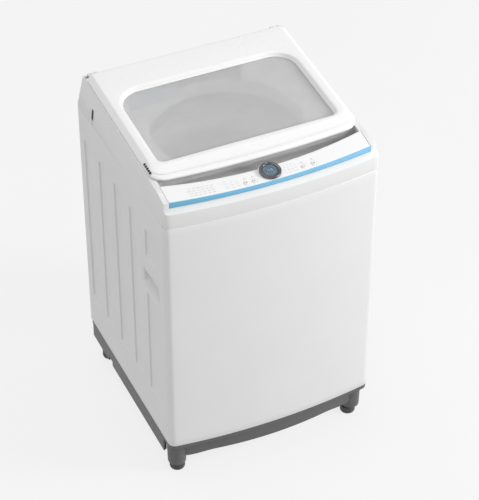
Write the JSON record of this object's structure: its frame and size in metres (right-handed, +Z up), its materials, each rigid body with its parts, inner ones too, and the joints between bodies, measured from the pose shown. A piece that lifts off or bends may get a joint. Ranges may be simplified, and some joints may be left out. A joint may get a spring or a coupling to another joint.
{
  "type": "top load washing machine",
  "caption": "Free-standing top load washing machine with a hinged glass lid, sloping control panel, hung tub, spin drum, pulsator and belt drive.",
  "frame": {"origin": "on the floor under the middle of the whole box", "axes": "+Z up, -Y to the front where the user stands, +X to the right seen from the front"},
  "size_m": [0.545, 0.555, 0.909],
  "materials": {
    "painted_steel": "semi-gloss white powder coat",
    "galvanised_steel": "galvanised sheet",
    "cup_plastic": "satin",
    "base_plastic": "fine grain dark grey",
    "foot_rubber": "black rubber",
    "bright_steel": "zinc plated",
    "frame_plastic": "satin white",
    "panel_plastic": "smooth white",
    "trim_blue": "glossy sky blue",
    "recess_grey": "fine grain grey",
    "dial_metal": "dark satin chrome",
    "display_glass": "dark glossy lens",
    "button_grey": "satin grey",
    "button_red": "satin red",
    "circuit_board": "solder mask",
    "case_plastic": "plain",
    "lid_plastic": "glossy white",
    "lid_glass": "clear tempered glass",
    "bumper_rubber": "soft grey",
    "drawer_plastic": "translucent blue grey",
    "housing_plastic": "plain white",
    "valve_plastic": "blue",
    "tub_plastic": "plain polypropylene",
    "drum_steel": "brushed stainless",
    "drum_plastic": "plain",
    "balance_plastic": "smooth white",
    "filter_plastic": "blue grey",
    "shaft_steel": "ground steel",
    "seal_rubber": "nitrile rubber",
    "clutch_metal": "die cast",
    "motor_paint": "painted steel",
    "capacitor_case": "drawn can",
    "valve_grey": "plain",
    "hose_rubber": "ribbed grey",
    "spring_steel": "oiled spring wire"
  },
  "bodies": {
    "root": {"cabinet": "painted_steel", "rear_panel": "galvanised_steel", "service_cover": "galvanised_steel", "handle_cup_left": "cup_plastic", "handle_cup_right": "cup_plastic", "base": "base_plastic", "guard_plate": "galvanised_steel", "foot_locknuts": "bright_steel", "rear_feet": "foot_rubber", "top_frame": "frame_plastic", "control_panel": "panel_plastic", "trim_strip": "trim_blue", "finger_recess": "recess_grey", "dial_display": "display_glass", "control_board": "circuit_board", "board_case": "case_plastic", "hinge_pin_left": "bright_steel", "hinge_pin_right": "bright_steel", "lid_bumpers": "bumper_rubber", "lid_switch": "case_plastic", "drawer_housing": "housing_plastic", "inlet_valve": "valve_plastic", "motor_capacitor": "capacitor_case", "drain_outlet": "case_plastic", "suspension_rods": "bright_steel", "rod_sockets": "painted_steel", "suspension_springs": "spring_steel", "cord_gland": "case_plastic", "rear_screws": "bright_steel"},
    "lid": {"lid_frame": "lid_plastic", "lid_glass": "lid_glass"},
    "dial": {"dial_ring": "dial_metal"},
    "function_left": {"function_button_left": "button_grey"},
    "function_right": {"function_button_right": "button_grey"},
    "start": {"start_button": "button_red"},
    "power": {"power_button": "button_grey"},
    "drawer": {"detergent_drawer": "drawer_plastic"},
    "foot_left": {"front_foot_left": "foot_rubber"},
    "foot_right": {"front_foot_right": "foot_rubber"},
    "tub": {"outer_tub": "tub_plastic", "tub_cover": "tub_plastic", "shaft_bearings": "shaft_steel", "shaft_seal": "seal_rubber", "clutch_housing": "clutch_metal", "drive_belt": "seal_rubber", "motor": "motor_paint", "carrier_plate": "galvanised_steel", "drain_valve": "valve_grey", "drain_hose": "hose_rubber"},
    "drum": {"spin_drum": "drum_steel", "drum_base": "drum_plastic", "balance_ring": "balance_plastic", "lint_filters": "filter_plastic", "spin_shaft": "shaft_steel"},
    "agitator": {"pulsator": "filter_plastic", "pulsator_screw": "bright_steel", "wash_shaft": "shaft_steel"},
    "pulley": {"driven_pulley": "clutch_metal"},
    "rotor": {"motor_pulley": "clutch_metal"}
  },
  "joints": [
    {"name": "lid_hinge", "type": "hinge", "parent": "root", "child": "lid", "pos_m": [0, 0.242, 0.893], "axis": [-1, 0, 0], "range_deg": [0, 95]},
    {"name": "dial_turn", "type": "hinge", "parent": "root", "child": "dial", "pos_m": [0, -0.2325, 0.85881], "axis": [0, -0.1736, 0.9848], "continuous": true},
    {"name": "function_left_press", "type": "slide", "parent": "root", "child": "function_left", "axis": [0, 0.1736, -0.9848], "range_m": [0, 0.0015], "stiffness_N_per_m": 700, "springref_m": -0.0015},
    {"name": "function_right_press", "type": "slide", "parent": "root", "child": "function_right", "axis": [0, 0.1736, -0.9848], "range_m": [0, 0.0015], "stiffness_N_per_m": 700, "springref_m": -0.0015},
    {"name": "start_press", "type": "slide", "parent": "root", "child": "start", "axis": [0, 0.1736, -0.9848], "range_m": [0, 0.0015], "stiffness_N_per_m": 700, "springref_m": -0.0015},
    {"name": "power_press", "type": "slide", "parent": "root", "child": "power", "axis": [0, 0.1736, -0.9848], "range_m": [0, 0.0015], "stiffness_N_per_m": 700, "springref_m": -0.0015},
    {"name": "drawer_slide", "type": "slide", "parent": "root", "child": "drawer", "axis": [0, -1, 0], "range_m": [0, 0.08]},
    {"name": "foot_left_adjust", "type": "slide", "parent": "root", "child": "foot_left", "axis": [0, 0, -1], "range_m": [0, 0.012]},
    {"name": "foot_right_adjust", "type": "slide", "parent": "root", "child": "foot_right", "axis": [0, 0, -1], "range_m": [0, 0.012]},
    {"name": "tub_suspension", "type": "slide", "parent": "root", "child": "tub", "axis": [0, 0, 1], "range_m": [-0.01, 0.01], "stiffness_N_per_m": 24000, "springref_m": 0.011, "deforming": ["suspension_springs"]},
    {"name": "drum_spin", "type": "hinge", "parent": "tub", "child": "drum", "pos_m": [0, 0, 0.3], "axis": [0, 0, 1], "continuous": true},
    {"name": "pulsator_spin", "type": "hinge", "parent": "drum", "child": "agitator", "pos_m": [0, 0, 0.3], "axis": [0, 0, 1], "continuous": true},
    {"name": "pulley_spin", "type": "hinge", "parent": "tub", "child": "pulley", "pos_m": [0, 0, 0.14], "axis": [0, 0, 1], "continuous": true},
    {"name": "motor_spin", "type": "hinge", "parent": "tub", "child": "rotor", "pos_m": [0, 0.16, 0.14], "axis": [0, 0, 1], "continuous": true}
  ],
  "couplings": [
    {"joint": "pulley_spin", "follows": "pulsator_spin", "ratio": 4},
    {"joint": "motor_spin", "follows": "pulsator_spin", "ratio": 10}
  ]
}
